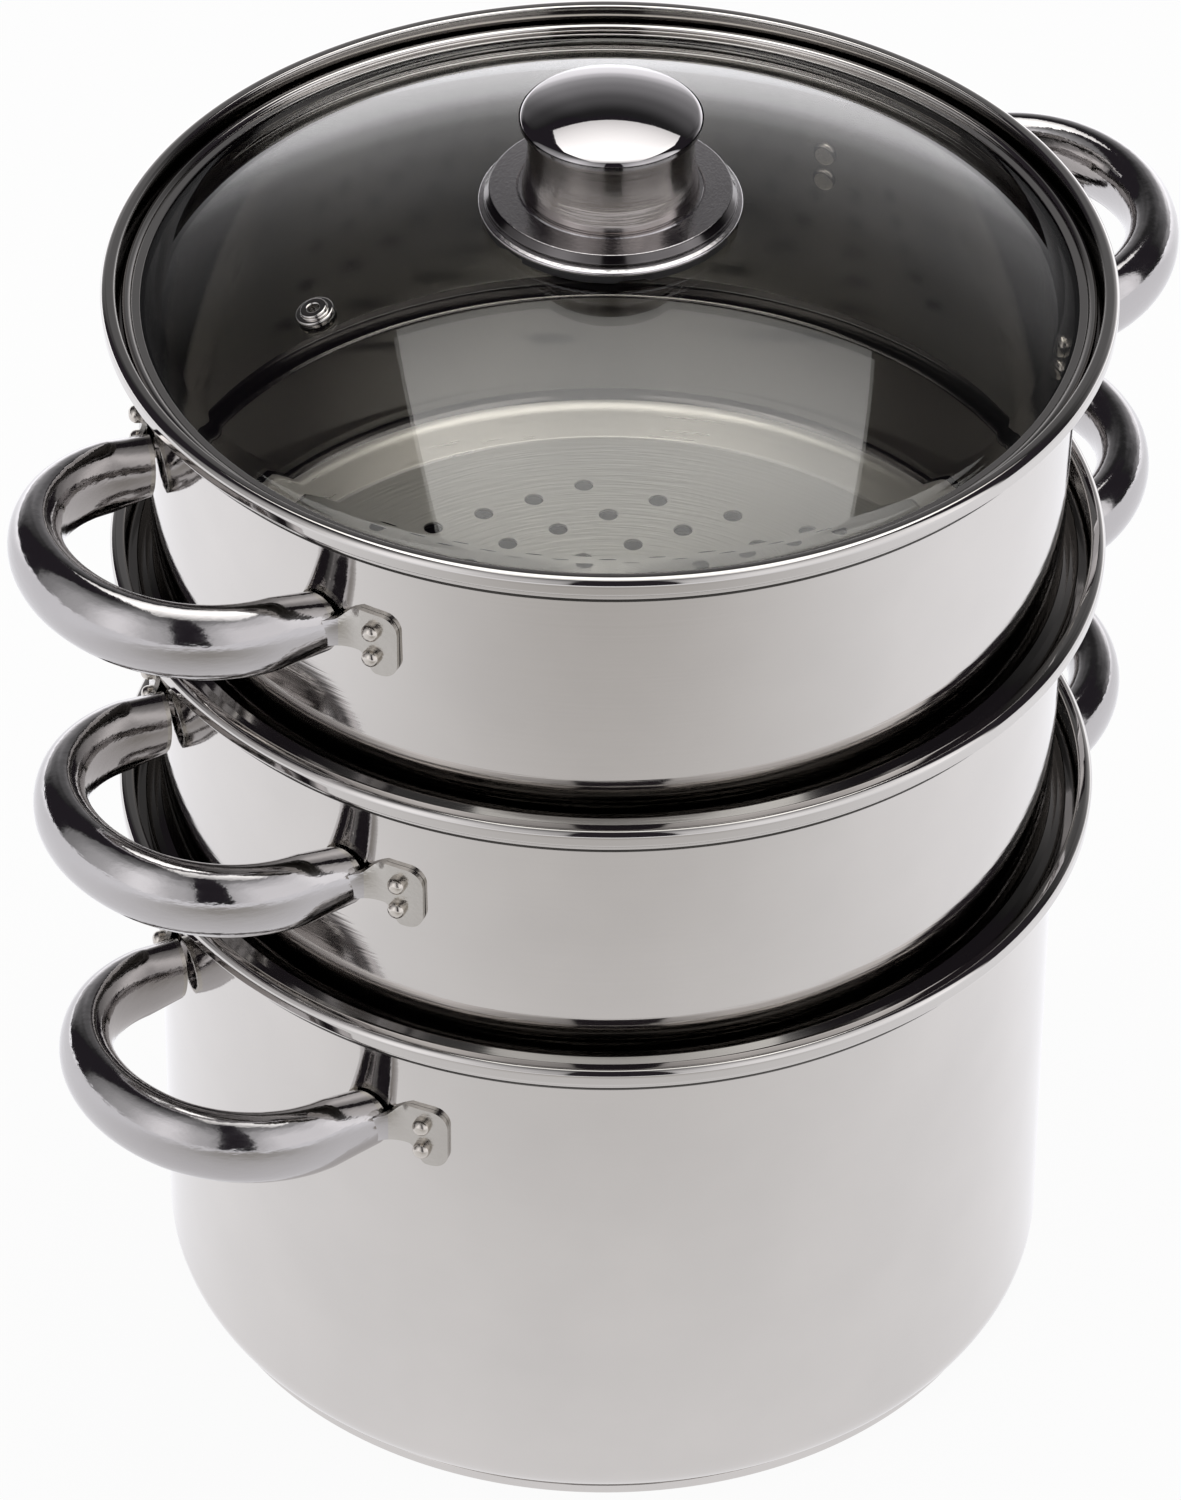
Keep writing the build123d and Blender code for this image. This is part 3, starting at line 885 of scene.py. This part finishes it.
tier_turns = {"pot": 0.0, **steamer_turns}
hands = {"right": 0.0, "left": math.pi}
for tier, turn in tier_turns.items():
    tier_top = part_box(tier + "_body")[1].z
    for hand, half_turn in hands.items():
        loop = link_object(f"{tier}_bow_{hand}", handle(tier, turn + half_turn, tier_top))
        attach(loop, tier)
        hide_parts(f"{tier}_handle_{hand}")

# Rivets: two at each tab, of dull steel. The shank goes through wall and tab, its outer end is
# left long and domed, and a low round head closes it inside the vessel.
rivet_radius = 0.0023
rivet_reach = 0.0039
rivet_end_rounding = 0.0019
rivet_head_radius = 0.00325
rivet_head_height = 0.0012
rivet_head_rounding = 0.0011
rivet_spacing = 0.0075
rivet_angle = math.radians(27)
rivet_round_steps = 32
rivet_steel = steel(
    "dull_rivet", ((0.68, 0.64, 0.59), (0.54, 0.51, 0.47)), (0.14, 0.26), relief=0.03,
    spacing=0.0011, run=0.0009,
)


def rivet_form():
    """One rivet along its own upright axis, with its shank's middle line through the wall."""
    outline = rounded(
        (0, -rivet_head_height, 0),
        (rivet_head_radius, -rivet_head_height, rivet_head_rounding),
        (rivet_head_radius, 0, 0),
        (rivet_radius, 0, 0),
        (rivet_radius, rivet_reach + sheet, rivet_end_rounding),
        (0, rivet_reach + sheet, 0),
    )
    return turned("rivet_form", outline, rivet_round_steps)


def riveting_tree():
    """Nodes that set one form at each point, turned to face out along the point's own angle."""
    given_parts = {"Geometry": ["Geometry"], "Object": ["Form"], "Material": ["Material"]}
    tree, given = geometry_tree("riveting", given_parts)
    axes = add(tree, "ShaderNodeSeparateXYZ", {0: add(tree, "GeometryNodeInputPosition").outputs[0]}).outputs
    facing = maths(tree, "ARCTAN2", axes["Y"], axes["X"])
    turn = add(tree, "ShaderNodeCombineXYZ", {"Y": math.pi / 2, "Z": facing})
    form = add(tree, "GeometryNodeObjectInfo", {"Object": given["Form"]}).outputs["Geometry"]
    placing = {"Points": given["Geometry"], "Instance": form, "Rotation": turn.outputs[0]}
    placed = add(tree, "GeometryNodeInstanceOnPoints", placing)
    return end_tree(tree, placed.outputs[0], given["Material"])


rivet_tree = riveting_tree()
form = link_object("rivet_form", rivet_form())
for tier, turn in tier_turns.items():
    tier_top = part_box(tier + "_body")[1].z
    wall = wall_at(tier, tier_top, tab_depth)
    for hand, half_turn in hands.items():
        seats = []
        for side in (-1, 1):
            for level in (-1, 1):
                angle = turn + half_turn + side * rivet_angle
                height = tier_top - tab_depth - tab_height / 2 + level * rivet_spacing / 2
                inside = wall - sheet
                seats.append((inside * math.cos(angle), inside * math.sin(angle), height))
        points = bpy.data.meshes.new("seats")
        points.from_pydata(seats, [], [])
        name = f"{tier}_rivet_set_{hand}"
        rivets = link_object(name, shaded(grown(name, rivet_tree, points, Form=form, Material=rivet_steel)))
        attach(rivets, tier)
        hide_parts(f"{tier}_rivets_{hand}")
bpy.data.objects.remove(form)

# Lid glass: smoked tempered glass, pressed into a dome with a flat margin, and drilled for the
# knob's screw. The vent's hole is left out, as its eyelet covers it on both sides.
glass_thickness = 0.0032
glass_margin_radius = 0.1125
glass_rise = 0.0266
lip_thickness = 0.0005
glass_edge = 0.1173
glass_edge_rounding = 0.0006
screw_hole_radius = 0.0028
dome_steps = 40
glass_tint = (0.79, 0.785, 0.765, 1)
glass_bend = 1.52
wiping_marks = {"Spacing": 0.004, "Run": 0.03, "Flat": 1, "Cloud Size": 12}
wiped_range = (0.5, 0.9)
film_roughness = (0, 0.02)
lid_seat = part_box("lid_band")[0].z
glass_base = lid_seat + lip_thickness
glass_rim_top = glass_base + glass_thickness
dome_radius = (glass_margin_radius**2 + glass_rise**2) / (2 * glass_rise)
dome_centre = glass_rim_top + glass_rise - dome_radius


def dome_height(distance):
    """Height of the glass's upper face at a distance from the axis."""
    return dome_centre + math.sqrt(dome_radius**2 - distance**2)


def glass_material():
    """Smoked glass with a faint film of wiping marks."""
    made, tree, shader = new_material("smoked_glass")
    marks = add(tree, "ShaderNodeGroup", wiping_marks, node_tree=turning_marks).outputs
    film = spread(tree, marks["Clouds"], wiped_range, film_roughness)
    feed(tree, shader, {"Base Color": glass_tint, "Transmission Weight": 1, "IOR": glass_bend})
    feed(tree, shader, {"Roughness": film})
    return made


def glass_outline():
    """Outline of the glass: underside out to the edge, and the dome back to the screw's hole."""
    bottom, top = [], []
    for index in range(dome_steps + 1):
        reach = screw_hole_radius + (glass_margin_radius - screw_hole_radius) * index / dome_steps
        bottom.append((reach, dome_height(reach) - glass_thickness, 0))
        top.append((reach, dome_height(reach), 0))
    edge = [(glass_edge, glass_base, glass_edge_rounding), (glass_edge, glass_rim_top, glass_edge_rounding)]
    return rounded(*bottom, *edge, *reversed(top))


glass_mesh = turned("lid_dome", glass_outline(), closed=True)
lid_dome = link_object("lid_dome", glass_mesh, glass_material())
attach(lid_dome, "lid")
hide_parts("lid_glass")

# Lid band: a steel strip rolled round the glass, with a raised round edge outside and two thin
# lips that hold the glass from above and below.
band_radius = 0.1199
band_width = 0.0025
band_height = 0.0053
band_rounding = 0.0012
band_lower_rounding = 0.0005
upper_lip_radius = 0.1153
lower_lip_radius = 0.114
lip_rounding = 0.0002

band_inner = band_radius - band_width
band_top = lid_seat + band_height
lip_top = glass_rim_top + lip_thickness
band_outline = rounded(
    (lower_lip_radius, glass_base, 0),
    (lower_lip_radius, lid_seat, lip_rounding),
    (band_radius, lid_seat, band_lower_rounding),
    (band_radius, band_top, band_rounding),
    (band_inner, band_top, band_rounding),
    (band_inner, lip_top, lip_rounding),
    (upper_lip_radius, lip_top, lip_rounding),
    (upper_lip_radius, glass_rim_top, lip_rounding),
    (band_inner, glass_rim_top, 0),
    (band_inner, glass_base, 0),
)
lid_rim = link_object("lid_rim", turned("lid_rim", band_outline, closed=True), rim_steel)
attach(lid_rim, "lid")
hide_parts("lid_band")

# Steam vent: a steel eyelet whose barrel goes through the glass, with a rolled flange above and
# one below.
vent_distance = 0.0772
vent_azimuth = math.radians(162.6)
vent_flange_radius = 0.0048
vent_flange_height = 0.0008
vent_collar_radius = 0.0034
vent_collar_height = 0.0018
vent_barrel_radius = 0.003
vent_bore_radius = 0.0015
vent_clearance = 0.0001
vent_steps = 48

vent_low = -glass_thickness - vent_clearance
vent_bottom = vent_low - vent_flange_height
vent_flange_top = vent_clearance + vent_flange_height
vent_top = vent_clearance + vent_collar_height
vent_outline = rounded(
    (vent_bore_radius, vent_bottom, 0),
    (vent_flange_radius, vent_bottom, vent_flange_height / 3),
    (vent_flange_radius, vent_low, 0),
    (vent_barrel_radius, vent_low, 0),
    (vent_barrel_radius, vent_clearance, 0),
    (vent_flange_radius, vent_clearance, 0),
    (vent_flange_radius, vent_flange_top, vent_flange_height / 2),
    (vent_collar_radius, vent_flange_top, vent_flange_height / 3),
    (vent_collar_radius, vent_top, vent_flange_height / 2),
    (vent_bore_radius, vent_top, vent_flange_height / 2),
    (vent_bore_radius, vent_bottom, 0),
)
vent_mesh = turned("steam_vent", vent_outline[:-1], vent_steps, closed=True)
vent_foot = Vector((math.cos(vent_azimuth), math.sin(vent_azimuth), 0)) * vent_distance
vent_foot.z = dome_height(vent_distance)
vent_lean = (vent_foot - Vector((0, 0, dome_centre))).to_track_quat("Z", "Y").to_matrix().to_4x4()
vent_mesh.transform(Matrix.Translation(vent_foot) @ vent_lean)
steam_vent = link_object("steam_vent", vent_mesh, rim_steel)
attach(steam_vent, "lid")
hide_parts("vent_eyelet")

# Knob gasket: a ring of black rubber between the glass and the knob, moulded with six shallow
# notches in its edge and pinched by the screw.
gasket_radius = 0.0318
gasket_width = 0.006
gasket_notches = 6
notch_half_angle = math.radians(6.3)
notch_depth = 0.001
gasket_rounding = 0.0005
gasket_clearance = 0.00005
rubber_tints = ((0.008, 0.008, 0.009, 1), (0.022, 0.021, 0.021, 1))
rubber_roughness = (0.38, 0.6)
grain_fineness = 1800
grain_relief = 0.3
grain_depth = 0.0001
knob_steps = 192
flange_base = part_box("knob_flange")[0].z


def rubber_material():
    """Matte black rubber with a fine grain."""
    made, tree, shader = new_material("black_seal")
    place = add(tree, "ShaderNodeTexCoord").outputs["Object"]
    grain = add(tree, "ShaderNodeTexNoise", {"Vector": place, "Scale": grain_fineness, "Detail": 3})
    grain = grain.outputs["Fac"]
    bump = add(tree, "ShaderNodeBump", {"Height": grain, "Strength": grain_relief, "Distance": grain_depth})
    rough = spread(tree, grain, (0, 1), rubber_roughness)
    colour = blend(tree, grain, *rubber_tints)
    feed(tree, shader, {"Base Color": colour, "Roughness": rough, "Normal": bump.outputs["Normal"]})
    return made


gasket_inner = gasket_radius - gasket_width
gasket_outline = rounded(
    (gasket_inner, dome_height(gasket_inner) + gasket_clearance, 0),
    (gasket_radius, dome_height(gasket_radius) + gasket_clearance, gasket_rounding),
    (gasket_radius, flange_base, gasket_rounding),
    (gasket_inner, flange_base, 0),
)
gasket_mesh = turned("knob_seal", gasket_outline, knob_steps, closed=True)
for vertex in gasket_mesh.vertices:
    angle = math.atan2(vertex.co.y, vertex.co.x)
    off = (angle + math.pi / gasket_notches) % (2 * math.pi / gasket_notches) - math.pi / gasket_notches
    reach = math.hypot(vertex.co.x, vertex.co.y)
    if reach > gasket_radius - gasket_width / 2 and abs(off) < notch_half_angle:
        vertex.co.x *= 1 - notch_depth / gasket_radius
        vertex.co.y *= 1 - notch_depth / gasket_radius
knob_seal = link_object("knob_seal", gasket_mesh, rubber_material())
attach(knob_seal, "lid")
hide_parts("knob_gasket")

# Knob: a stepped plate, a hollow waisted stem with two rings, and a domed cap, all of steel. Each
# is pressed from sheet, and the cap is rolled over the stem's top.
flange_radius = 0.0323
flange_edge_height = 0.0009
flange_step_radius = 0.0309
flange_step_height = 0.0027
flange_rounding = 0.0004
flange_upper_rounding = 0.0005
plateau_radius = 0.0296
plateau_fall = 0.0002
bead_groove = 0.0003
bead_ring_radius = 0.0228
neck_base_radius = 0.0217
neck_waist_radius = 0.0203
neck_top_radius = 0.0209
neck_rings = 2
neck_ring_step = 0.0022
neck_groove = 0.00025
neck_lip = 0.0009
cap_radius = 0.0224
cap_underside = 0.0004
cap_shoulder_radius = 0.021
cap_shoulder_rounding = 0.0025
cap_dome_radius = 0.055
cap_rings = 15
knob_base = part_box("knob_neck")[0].z
cap_base, knob_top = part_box("knob_cap")[0].z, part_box("knob_cap")[1].z
knob_steel = steel(
    "polished_knob", ((0.48, 0.465, 0.47), (0.42, 0.405, 0.41)), (0.02, 0.05), relief=0.008,
    spacing=0.0009, run=0.012,
)
stem_steel = steel(
    "satin_stem", ((0.43, 0.4, 0.385), (0.34, 0.315, 0.3)), (0.1, 0.2), relief=0.05,
    spacing=0.0006, run=0.012,
)
plate_steel = steel(
    "satin_plate", ((0.66, 0.635, 0.64), (0.54, 0.52, 0.53)), (0.1, 0.26), relief=0.08,
    spacing=0.0007, run=0.0012, flat=1,
)
# Painted shade: darkened steel on the plate's step between the plateau and the edge.
step_shade_steel = steel(
    "dark_step", ((0.17, 0.16, 0.16), (0.1, 0.095, 0.095)), (0.08, 0.16), relief=0.02,
    spacing=0.0009, run=0.012,
)


def cap_height(distance):
    """Height of the cap's dome at a distance from the axis."""
    return knob_top - cap_dome_radius + math.sqrt(cap_dome_radius**2 - distance**2)


flange_outline = rounded(
    (screw_hole_radius, flange_base, 0),
    (flange_radius, flange_base, flange_rounding),
    (flange_radius, flange_base + flange_edge_height, flange_upper_rounding),
    (flange_step_radius, flange_base + flange_step_height / 2, flange_rounding),
    (flange_step_radius, flange_base + flange_step_height, flange_rounding),
    (plateau_radius, knob_base - plateau_fall, flange_upper_rounding),
    (bead_ring_radius + bead_groove, knob_base, 0),
    (bead_ring_radius, knob_base - bead_groove, 0),
    (bead_ring_radius - bead_groove, knob_base, 0),
    (screw_hole_radius, knob_base, 0),
)
neck_length = cap_base - knob_base
neck_corners = [
    (0, knob_base, 0),
    (neck_base_radius, knob_base, neck_lip / 3),
    (neck_base_radius, knob_base + neck_lip, neck_lip / 2),
    (neck_waist_radius, knob_base + neck_length / 2, neck_length * 2),
]
for index in range(neck_rings):
    height = cap_base - neck_ring_step * (neck_rings - index)
    radius = neck_waist_radius + (neck_top_radius - neck_waist_radius) * (index + 1) / neck_rings
    neck_corners += [(radius - neck_groove, height, 0), (radius, height + neck_groove, 0)]
neck_corners += [(neck_top_radius, cap_base, 0), (0, cap_base, 0)]
slope = cap_shoulder_radius / math.sqrt(cap_dome_radius**2 - cap_shoulder_radius**2)
corner_height = cap_height(cap_shoulder_radius) - slope * (cap_radius - cap_shoulder_radius)
cap_corners = [
    (0, cap_base, 0),
    (neck_top_radius - cap_underside, cap_base, 0),
    (cap_radius, cap_base + cap_underside, cap_underside),
    (cap_radius, corner_height, cap_shoulder_rounding),
]
for index in range(1, cap_rings):
    reach = cap_shoulder_radius * (1 - index / cap_rings)
    cap_corners.append((reach, cap_height(reach), 0))
cap_corners.append((0, knob_top, 0))
for node, mesh, finish in (
    ("knob_flange", turned("knob_plate", flange_outline, knob_steps, closed=True), plate_steel),
    ("knob_neck", turned("knob_stem", rounded(*neck_corners), knob_steps), stem_steel),
    ("knob_cap", turned("knob_top", rounded(*cap_corners), knob_steps), knob_steel),
):
    piece = link_object(mesh.name, mesh, finish)
    # The step round the plate takes the darkened steel, as painted shade.
    if node == "knob_flange":
        mesh.materials.append(step_shade_steel)
        for face in mesh.polygons:
            reach = math.hypot(face.center.x, face.center.y)
            face.material_index = plateau_radius < reach < flange_step_radius + flange_edge_height / 4
    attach(piece, "lid")
    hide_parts(node)

# Screw: a steel bolt with a round head and a washer, driven up through the glass into the stem.
# It clamps the whole knob, and shows only from beneath the lid.
screw_radius = 0.0025
screw_end_rounding = 0.0005
screw_head_radius = 0.0055
screw_head_height = 0.0026
screw_head_rounding = 0.0015
washer_radius = 0.01
washer_thickness = 0.0012
washer_rounding = 0.0003
screw_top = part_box("knob_screw")[1].z
head_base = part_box("knob_screw")[0].z
washer_base = head_base + screw_head_height
washer_top = washer_base + washer_thickness
screw_outline = rounded(
    (0, head_base, 0),
    (screw_head_radius, head_base, screw_head_rounding),
    (screw_head_radius, washer_base, 0),
    (washer_radius, washer_base, washer_rounding),
    (washer_radius, washer_top, washer_rounding),
    (screw_radius, washer_top, 0),
    (screw_radius, screw_top, screw_end_rounding),
    (0, screw_top, 0),
)
knob_bolt = link_object("knob_bolt", turned("knob_bolt", screw_outline, vent_steps), rivet_steel)
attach(knob_bolt, "lid")
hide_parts("knob_screw")
